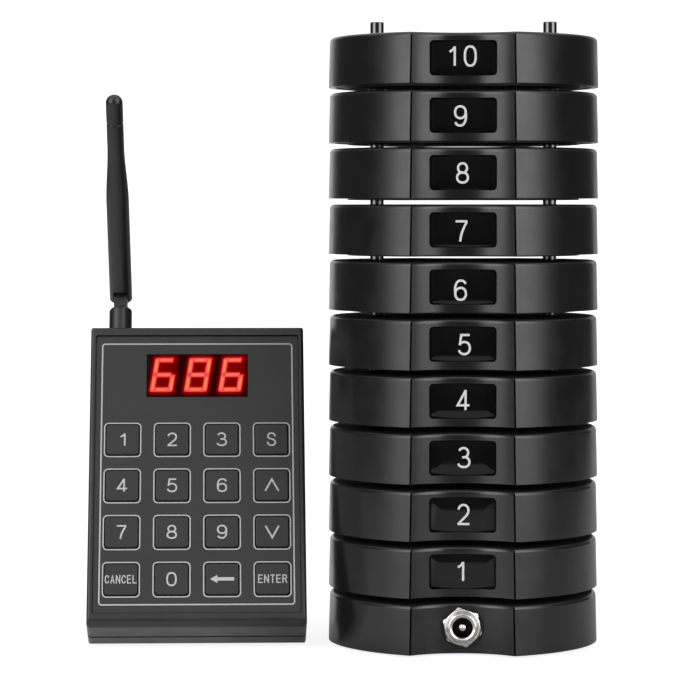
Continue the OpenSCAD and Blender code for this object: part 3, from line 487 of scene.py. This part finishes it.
def works_finish(w, d, h):
    if w > BOARD_MIN_W:
        return "circuit_board"
    if w > BATTERY_MIN_W:
        return "battery_cell"
    return "contact_metal" if w < METAL_MAX_W else "socket_plastic"


def whip_finish(w, d, h):
    return "screw_steel" if d < PIN_MAX_D else "antenna_rubber"


for sub in RECORD["subparts"]:
    materials = NODES[sub["node"]].data.materials
    if not materials:
        materials.append(None)
    for k in range(len(materials)):
        materials[k] = FINISH[sub["material_slot"]]
for n in range(1, PAGERS):
    paint_solids(f"pager_{n:02d}_case", case_finish)
    paint_solids(f"pager_{n:02d}_works", works_finish)
paint_solids("pager_10_board", works_finish)
paint_solids("antenna_whip", whip_finish)


# The fine groove along each ridge is painted near-black without gloss: painted shade. In millimetres: where a
# ridge starts at the foot of the wall, how far it moves on its way up, how high the wall is, how near to
# the ridge its groove lies, how far down the top counts as top, and how far the raised pad
# of a pager's cover stands out below the wall.
RIDGE_FOOT, RIDGE_RUN, WALL_H = (20.0, 52.5), (-0.39, -0.37), 19.5
GROOVE_REACH, TOP_BAND, PAD_STAND = 0.62, 0.5, 0.6
# A face counts as level when its normal points up by at least this much.
LEVEL = 0.99
# The ridge grooves' painted shade: near-black, with no gloss.
CREASE_SHADE = moulded("crease_shadow", (0.0015, 0.0015, 0.0015), 0.8, 0.3, 0.003,
                 Specular_IOR_Level=0.0)
TOP = moulded("top_texture", BLACK, 0.6, 0.35, 0.02, Specular_IOR_Level=0.2)


def dress_shell(node, foot_z):
    """Paints the grooves along the ridges near-black as painted shade, and gives the top its matt texture."""
    mesh = NODES[node].data
    mesh.materials.append(CREASE_SHADE)
    mesh.materials.append(TOP)
    crease_shade_slot, top_slot = len(mesh.materials) - 2, len(mesh.materials) - 1
    for face in mesh.polygons:
        away = 0
        for v in face.vertices:
            x, y, z = (c / MM for c in mesh.vertices[v].co)
            up = min(max((z - foot_z / MM) / WALL_H, 0), 1)
            away = max(away, abs(abs(x) - RIDGE_FOOT[0] - RIDGE_RUN[0] * up)
                       + abs(abs(y) - RIDGE_FOOT[1] - RIDGE_RUN[1] * up))
        if away < GROOVE_REACH:
            face.material_index = crease_shade_slot
        elif (face.material_index == 0 and face.normal.z > LEVEL
              and face.center.z > foot_z + (WALL_H - TOP_BAND) * MM):
            face.material_index = top_slot


for node in ("dock_shell", "pager_10_shell"):
    dress_shell(node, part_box(node)[1][2] - WALL_H * MM)
for n in range(1, PAGERS):
    node = f"pager_{n:02d}_case"
    dress_shell(node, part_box(node)[0][2] + PAD_STAND * MM)


# ---------------------------------------------------------------- pagers

# The window plates are clear-coated, so each has a low dome with rounded edges.
PLATE_W, PLATE_H, PLATE_R = 25.2, 13.0, 1.4
DOME_LOW, DOME_SIDE, DOME_RISE = 0.01, 0.12, 0.26
# How far in from the edge the rings of the dome lie, and how a ring's corners shrink.
DOME_INSETS = (0, 0.03, 0.1, 0.22, 0.4, 0.65, 1.0, 1.5, 2.4, 3.8, 5.4)
CORNER_LOSS, CORNER_MIN, WELD = 0.4, 0.35, 1e-7
DIGIT_H, DIGIT_W, DIGIT_STROKE, DIGIT_GAP = 8.2, 5.0, 0.86, 3.0
DIGIT_SUNK, DIGIT_PROUD = 0.1, 0.02
# Where each printed number sits in its window, in millimetres right and up from the middle.
PLACED = {10: (-0.3, 0.75), 9: (-1.05, -0.2), 8: (-0.25, -0.1), 7: (-0.6, -0.4), 6: (-0.95, -1.2),
          5: (0.6, -0.2), 4: (0.1, 0.2), 3: (0.5, 0.15), 2: (0.35, 0.1), 1: (-0.8, 0)}


def domed_plate(number, plane):
    """The clear-coated plate in a pager's window, built up of rings from its edge inwards."""
    bm = bmesh.new()
    rings = [[bm.verts.new(plane.at(x, y, DOME_LOW))
              for x, y in round_rect(PLATE_W, PLATE_H, PLATE_R)]]
    for inset in DOME_INSETS:
        t = inset / DOME_INSETS[-1]
        rise = DOME_SIDE + DOME_RISE * (1 - (1 - t) ** 3)
        outline = round_rect(PLATE_W - 2 * inset, PLATE_H - 2 * inset,
                             max(PLATE_R - inset * CORNER_LOSS, CORNER_MIN))
        rings.append([bm.verts.new(plane.at(x, y, rise)) for x, y in outline])
    for lower, upper in zip(rings, rings[1:]):
        for i in range(len(lower)):
            j = (i + 1) % len(lower)
            bm.faces.new((lower[i], lower[j], upper[j], upper[i]))
    bm.faces.new(rings[0])
    bm.faces.new(rings[-1])
    bmesh.ops.remove_doubles(bm, verts=bm.verts, dist=WELD)
    finish_piece(bm, f"window_{number:02d}", FINISH["number_plate"], f"pager_{number:02d}",
                 smooth=True)


def pager_number(number, plane):
    bm = bmesh.new()
    top = DOME_SIDE + DOME_RISE
    write(bm, plane.moved(*PLACED[number]), str(number), DIGIT_H, DIGIT_W, DIGIT_STROKE,
          DIGIT_GAP, top - DIGIT_SUNK, top + DIGIT_PROUD)
    finish_piece(bm, f"number_{number:02d}", WHITE_INK, f"pager_{number:02d}")


for n in range(1, PAGERS + 1):
    domed_plate(n, window_plane(n))
    pager_number(n, window_plane(n))


# ---------------------------------------------------------------- keypad

PRINT_LOW, PRINT_HIGH = 0.004, 0.035
KEY_FRAME, KEY_FRAME_LINE, KEY_FRAME_R = 14.9, 0.48, 1.9
FACE_FRAME_W, FACE_FRAME_LINE, FACE_FRAME_R = 77.0, 0.56, 1.4
FACE_FRAME_DOWN, FACE_FRAME_UP = 40.4, 72.05
KEYS = ["1", "2", "3", "s", "4", "5", "6", "up", "7", "8", "9", "down",
        "cancel", "0", "back", "enter"]
ARROW_HALF_W, ARROW_HALF_H, ARROW_LINE = 2.65, 2.5, 0.68
BACK_ARROW = [(-4.75, 0), (-1.85, 1.7), (-1.85, 0.7), (4.75, 0.7),
              (4.75, -0.7), (-1.85, -0.7), (-1.85, -1.7)]
# What is written on a key, then the height and width of its figures, their stroke and gap.
# The number keys have FIGURE_SIZES.
WORDS = {"cancel": ("CANCEL", 3.5, 1.74, 0.4, 0.44), "enter": ("ENTER", 3.5, 1.9, 0.42, 0.48),
         "s": ("S", 5.9, 3.9, 0.66, 0)}
FIGURE_SIZES = (5.9, 4.1, 0.66, 0)

panel = face_plane("tx_face_panel")


def on_panel(node):
    """A piece's middle, in millimetres from the middle of the face panel."""
    away = face_plane(node).origin - panel.origin
    return away.dot(panel.right) / MM, away.dot(panel.up) / MM


def panel_print():
    """The frame around each key and the one around the whole keypad."""
    bm = bmesh.new()
    centres = [on_panel(f"key_{k}") for k in KEYS]
    for x, y in centres:
        line = round_rect(KEY_FRAME - KEY_FRAME_LINE, KEY_FRAME - KEY_FRAME_LINE,
                          KEY_FRAME_R - KEY_FRAME_LINE / 2)
        ribbon(bm, panel.moved(x, y), line, KEY_FRAME_LINE, PRINT_LOW, PRINT_HIGH, closed=True)
    mid_x = sum(x for x, y in centres) / len(centres)
    mid_y = sum(y for x, y in centres) / len(centres)
    height = FACE_FRAME_DOWN + FACE_FRAME_UP
    line = round_rect(FACE_FRAME_W - FACE_FRAME_LINE, height - FACE_FRAME_LINE,
                      FACE_FRAME_R - FACE_FRAME_LINE / 2)
    ribbon(bm, panel.moved(mid_x, mid_y - FACE_FRAME_DOWN + height / 2), line,
           FACE_FRAME_LINE, PRINT_LOW, PRINT_HIGH, closed=True)
    finish_piece(bm, "panel_print", GREY_INK, "transmitter")


def key_legend(key):
    plane = face_plane(f"key_{key}")
    bm = bmesh.new()
    if key in ("up", "down"):
        tip = ARROW_HALF_H if key == "up" else -ARROW_HALF_H
        line = [(-ARROW_HALF_W, -tip), (0, tip), (ARROW_HALF_W, -tip)]
        ribbon(bm, plane, line, ARROW_LINE, PRINT_LOW, PRINT_HIGH)
    elif key == "back":
        slab(bm, plane, BACK_ARROW, PRINT_LOW, PRINT_HIGH)
    else:
        word, *sizes = WORDS.get(key, (key, *FIGURE_SIZES))
        write(bm, plane, word, *sizes, PRINT_LOW, PRINT_HIGH)
    finish_piece(bm, f"legend_{key}", LEGEND_INK, f"key_{key}")


panel_print()
for k in KEYS:
    key_legend(k)


# ---------------------------------------------------------------- display

LED_W, LED_H, LED_BAR, LED_GAP = 8.95, 14.7, 1.7, 0.14
LED_PITCH, LED_SLANT = 13.77, tan(radians(8.65))
LED_LEFT, LED_UP, LENS_EDGE = 1.25, 0.43, 0.1
SHOWN = ["acdefg", "abcdefg", "acdefg"]
# The light is drawn in flat layers on the lens. Where layers overlap, the highest shows.
LAYER_LOW, GLOW_HIGH, GLOW_STEP = 0.002, 0.006, 0.004
# How far the outline is moved outwards, the top of the layer and its colour.
UNLIT_BARS = (0.4, 0.0165, (0.15, 0, 0))
FIELD = (2.4, 0.004, (0.03, 0, 0))
LOOPS = (0, 0.016, (0.2, 0, 0))
# The lit bars, from the faint light around them to their core: outline and colour.
GLOW = ((2.4, (0.035, 0, 0)), (1.8, (0.08, 0, 0)), (1.3, (0.16, 0, 0)),
        (0.8, (0.28, 0.001, 0)), (0.4, (0.5, 0.006, 0.004)), (0.1, (0.95, 0.08, 0.085)),
        (-0.3, (1.0, 0.15, 0.1)), (-0.52, (1.0, 0.25, 0.085)))
# An outline that is moved inwards keeps at least these shares of its width and height,
# and loses this further share of its height.
CORE_MIN_W, CORE_MIN_H, CORE_LOSS = 0.35, 0.3, 0.12


def segment(letter):
    """Outline of one bar of a digit, of its upper (u) or lower (v) loop or of the whole
    digit (w), from the digit's lower left corner."""
    w, h, b, g = LED_W, LED_H, LED_BAR, LED_GAP
    corner, nip, lean, slant, point = 0.7, 0.2, 0.05, 0.4, 0.75
    mid = h / 2
    if letter == "w":
        return [(0, 0), (w, 0), (w, h), (0, h)]
    if letter in "uv":
        low = b if letter == "v" else mid
        return [(b, low), (w - b, low), (w - b, low + mid - b), (b, low + mid - b)]
    if letter == "a":
        return [(b + g, h), (w - b - g, h), (w - b - g, h - b), (b + g, h - b)]
    if letter == "g":
        return [(b * point + g, mid), (b + g, mid + b / 2), (w - b - g, mid + b / 2),
                (w - b * point - g, mid), (w - b - g, mid - b / 2), (b + g, mid - b / 2)]
    if letter == "f":
        return [(lean, mid + g), (b * (1 - slant), mid + g), (b, mid + g + b * slant), (b, h),
                (corner, h), (nip, h - nip), (0, h - corner)]
    if letter == "d":
        return [(x, h - y) for x, y in segment("a")]
    if letter == "e":
        return [(x, h - y) for x, y in segment("f")]
    twin = {"b": "f", "c": "e"}[letter]
    return [(w - x, y) for x, y in segment(twin)]


def grown(outline, amount):
    """The outline with each side moved outwards, or inwards where amount is below 0."""
    cx = sum(x for x, y in outline) / len(outline)
    cy = sum(y for x, y in outline) / len(outline)
    half_w = max(abs(x - cx) for x, y in outline)
    half_h = max(abs(y - cy) for x, y in outline)
    fx, fy = (half_w + amount) / half_w, (half_h + amount) / half_h
    if amount < 0:
        fx, fy = max(fx, CORE_MIN_W), max(fy - CORE_LOSS, CORE_MIN_H)
    return [(cx + (x - cx) * fx, cy + (y - cy) * fy) for x, y in outline]


def half_span(node, axis):
    low, high = reach(node, axis)
    return (high - low) / 2 / MM


def led_layer(name, lines, amount, high, colour):
    """One layer of light: the named bars of each digit, cut off at the lens's edge."""
    plane = face_plane("tx_display_lens")
    half_w = half_span("tx_display_lens", TX_RIGHT)
    half_h = half_span("tx_display_lens", TX_UP)
    bm = bmesh.new()
    for i, letters in enumerate(lines):
        x0 = -half_w + LED_LEFT + i * LED_PITCH
        y0 = LED_UP - LED_H / 2
        for letter in letters:
            outline = [(max(min(x0 + x + y * LED_SLANT, half_w - LENS_EDGE), LENS_EDGE - half_w),
                        max(min(y0 + y, half_h - LENS_EDGE), LENS_EDGE - half_h))
                       for x, y in grown(segment(letter), amount)]
            slab(bm, plane, outline, LAYER_LOW, high)
    piece = finish_piece(bm, name, lit(name, colour), "transmitter")
    # The photo shows no red glow on the stack, so mirrored rays pass the light by.
    piece.visible_glossy = False


def display_digits():
    dark = [sorted(set("abcdefg") - set(letters)) for letters in SHOWN]
    led_layer("led_unlit", dark, *UNLIT_BARS)
    led_layer("led_field", ["w"] * len(SHOWN), *FIELD)
    led_layer("led_loops", ["uv"] * len(SHOWN), *LOOPS)
    for k, (amount, colour) in enumerate(GLOW):
        led_layer(f"led_glow_{k}", SHOWN, amount, GLOW_HIGH + GLOW_STEP * k, colour)


display_digits()


# ---------------------------------------------------------------- dock jack

BARREL_R = 5.3
CREST_PITCH, CREST_RISE, CREST_SUNK, CREST_START, CREST_SIDES = 0.4, 0.1, 0.02, 0.2, 64
# The plug's hole and the pin in it, each with a little to spare.
HOLE_R, HOLE_L, HOLE_PIN_R, BRIGHT_L = 4.02, 9.6, 1.4, 2


def jack_end():
    """How far to the front the jack's barrel reaches and how high its axis lies."""
    low, high = (Vector(c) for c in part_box("dock_power_jack"))
    return low.y, (low.z + high.z) / 2


def jack_thread():
    """Fine crests on the end of the barrel that stands out of the nut."""
    end_y, centre_z = jack_end()
    stick_out = (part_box("dock_jack_nut")[0][1] - end_y) / MM
    crests = max(int((stick_out - CREST_START) / CREST_PITCH), 1)
    foot = BARREL_R - CREST_SUNK
    profile = ((0, foot), (CREST_PITCH / 2, BARREL_R + CREST_RISE), (CREST_PITCH, foot))
    bm = bmesh.new()
    for t in range(crests):
        y = end_y + (CREST_START + t * CREST_PITCH) * MM
        loops = []
        for dy, r in profile:
            loops.append([bm.verts.new((r * MM * cos(2 * pi * i / CREST_SIDES), y + dy * MM,
                                        centre_z + r * MM * sin(2 * pi * i / CREST_SIDES)))
                          for i in range(CREST_SIDES)])
        for one, two in zip(loops, loops[1:] + loops[:1]):
            for i in range(CREST_SIDES):
                j = (i + 1) % CREST_SIDES
                bm.faces.new((one[i], one[j], two[j], two[i]))
    finish_piece(bm, "jack_thread", FINISH["jack_metal"], "dock")


def dark_bore():
    """The wall and the end of the plug's hole are black; its mouth and its pin are bright."""
    mesh = NODES["dock_power_jack"].data
    end_y, centre_z = jack_end()
    mesh.materials.append(FINISH["socket_plastic"])
    for face in mesh.polygons:
        corners = [mesh.vertices[v].co for v in face.vertices]
        widest = max((c.x ** 2 + (c.z - centre_z) ** 2) ** 0.5 for c in corners)
        deepest = max(c.y for c in corners)
        in_wall = HOLE_PIN_R * MM < widest < HOLE_R * MM
        if in_wall and end_y + BRIGHT_L * MM < deepest < end_y + HOLE_L * MM:
            face.material_index = 1


jack_thread()
dark_bore()


# ---------------------------------------------------------------- studio

# Seen by the camera, the paper is as bright as in the photo. What it casts on the object
# falls from the first level to the second between two places across, in metres.
PAPER_SEEN, PAPER_CAST, CAST_FALL = 0.84, (0.5, 0.12), (-0.1, -0.05)
PAPER_DARK, PAPER_LIGHT, PAPER_PATCH = (0.3, 0.3, 0.3), (0.32, 0.32, 0.32), 40


def staged(name, bm, material):
    mesh = bpy.data.meshes.new(name)
    bm.to_mesh(mesh)
    bm.free()
    for face in mesh.polygons:
        face.use_smooth = True
    made = bpy.data.objects.new(name, mesh)
    made.data.materials.append(material)
    bpy.context.scene.collection.objects.link(made)


def paper():
    """Evenly bright for the camera; the object sees it darker, most of all by the stack."""
    s = Shader("white_paper", Roughness=0.9, Specular_IOR_Level=0.0)
    seen = s.node("ShaderNodeLightPath").outputs["Is Camera Ray"]
    across = s.node("ShaderNodeSeparateXYZ", Vector=s.where).outputs["X"]
    cast = s.spread(across, *PAPER_CAST, *CAST_FALL)
    s.set(s.surface, Base_Color=s.tint(s.noise(PAPER_PATCH), PAPER_DARK, PAPER_LIGHT),
          Emission_Color=(1, 1, 1, 1), Emission_Strength=s.spread(seen, cast, PAPER_SEEN, 0, 1))
    return s.material


def sweep():
    """A sheet of white paper that lies under the object and curves up behind it."""
    front, back, bend, top, left, right = -0.75, 1.6, 0.5, 1.6, -0.95, 0.85
    line = [(front, 0.0), (0.0, 0.0)]
    line += [(back - bend + bend * sin(radians(a)), bend - bend * cos(radians(a)))
             for a in range(0, 91, 6)]
    line.append((back, top))
    bm = bmesh.new()
    rows = [[bm.verts.new((x, y, z)) for x in (left, right)] for y, z in line]
    for one, two in zip(rows, rows[1:]):
        bm.faces.new((one[0], one[1], two[1], two[0]))
    staged("paper_sweep", bm, paper())


def side(angle):
    """Where a direction that many degrees from the front lies on the ramp round about."""
    return (1 + cos(radians(angle))) / 2


# Levels of light by direction, each as (place on the ramp, level). Round about, the ramp
# runs from straight behind to straight in front, by height from straight down to up.
ROUND_ABOUT = [(0.0, 0.085), (side(155), 0.085), (side(140), 0.01), (side(92), 0.005),
               (side(80), 0.11), (side(72), 0.42), (side(64), 0.85), (side(54), 1.0),
               (side(40), 1.0), (side(26), 0.08), (1.0, 0.015)]
BOXES_BY_HEIGHT = [(0.0, 0.0), (0.42, 0.05), (0.46, 0.25), (0.48, 0.5), (0.5, 0.72),
                   (0.54, 0.95), (0.57, 1.0), (0.8, 1.0), (0.9, 0.1), (1.0, 0.0)]
ABOVE = [(0.0, 0.02), (0.5, 0.02), (0.74, 0.04), (0.84, 0.7), (0.9, 1.05), (1.0, 1.05)]
BOX_STRENGTH, BACKDROP, TURNED_DEGREES, NEAR_ZERO = 4.2, 1.05, 3, 0.001


def light_map(world):
    """Soft light by direction: two tall soft boxes in front, faint grey behind, dark
    between them, and a bright ceiling. The camera itself sees a plain white backdrop."""
    tree = world.node_tree
    tree.nodes.clear()

    def node(kind, **inputs):
        made = tree.nodes.new(kind)
        for key, value in inputs.items():
            socket = made.inputs[int(key[1:])] if key[0] == "_" else made.inputs[key]
            if hasattr(value, "links"):
                tree.links.new(value, socket)
            else:
                socket.default_value = value
        return made

    def maths(kind, a, b=0.0):
        made = node("ShaderNodeMath", _0=a, _1=b)
        made.operation = kind
        return made.outputs[0]

    def ramp(value, stops):
        made = node("ShaderNodeValToRGB", _0=value)
        points = made.color_ramp.elements
        while len(points) < len(stops):
            points.new(0.5)
        for point, (place, level) in zip(points, stops):
            point.position = place
            point.color = (level, level, level, 1)
        return made.outputs["Color"]

    parts = node("ShaderNodeSeparateXYZ",
                 _0=tree.nodes.new("ShaderNodeTexCoord").outputs["Generated"]).outputs
    flat = maths("SQRT", maths("ADD", maths("MULTIPLY", parts["X"], parts["X"]),
                               maths("MULTIPLY", parts["Y"], parts["Y"])))
    turned_to = radians(TURNED_DEGREES)
    ahead = maths("ADD", maths("MULTIPLY", parts["Y"], -cos(turned_to)),
                  maths("MULTIPLY", parts["X"], sin(turned_to)))
    front = maths("DIVIDE", ahead, maths("MAXIMUM", flat, NEAR_ZERO))
    round_about = ramp(maths("MULTIPLY", maths("ADD", front, 1.0), 0.5), ROUND_ABOUT)
    height = maths("MULTIPLY", maths("ADD", parts["Z"], 1.0), 0.5)
    boxes = maths("MULTIPLY", round_about, ramp(height, BOXES_BY_HEIGHT))
    strength = maths("ADD", maths("MULTIPLY", boxes, BOX_STRENGTH), ramp(height, ABOVE))
    seen = node("ShaderNodeBackground", Color=(1, 1, 1, 1), Strength=BACKDROP)
    light = node("ShaderNodeBackground", Color=(1, 1, 1, 1), Strength=strength)
    camera_ray = tree.nodes.new("ShaderNodeLightPath").outputs["Is Camera Ray"]
    mix = node("ShaderNodeMixShader", Fac=camera_ray)
    tree.links.new(light.outputs[0], mix.inputs[1])
    tree.links.new(seen.outputs[0], mix.inputs[2])
    out = tree.nodes.new("ShaderNodeOutputWorld")
    tree.links.new(mix.outputs[0], out.inputs["Surface"])


# The camera that was fitted to the photo: its place and its nearest sight in metres, its
# lens and sensor in millimetres, how far it looks down and to the left in degrees.
CAMERA_PLACE, CAMERA_LENS, SENSOR, NEAREST = (0.0, -1.270, 0.1708), 169.48, 36.0, 0.01
CAMERA_DOWN, CAMERA_LEFT = 2.309, 2.2005

scene = bpy.context.scene
scene.view_settings.view_transform = "Standard"
sweep()
world = bpy.data.worlds.new("studio")
world.use_nodes = True
scene.world = world
light_map(world)

view = bpy.data.cameras.new("photo_view")
view.sensor_width = SENSOR
view.lens = CAMERA_LENS
view.clip_start = NEAREST
camera = bpy.data.objects.new("photo_view", view)
camera.location = CAMERA_PLACE
camera.rotation_euler = (radians(90 - CAMERA_DOWN), 0.0, radians(CAMERA_LEFT))
scene.collection.objects.link(camera)
scene.camera = camera
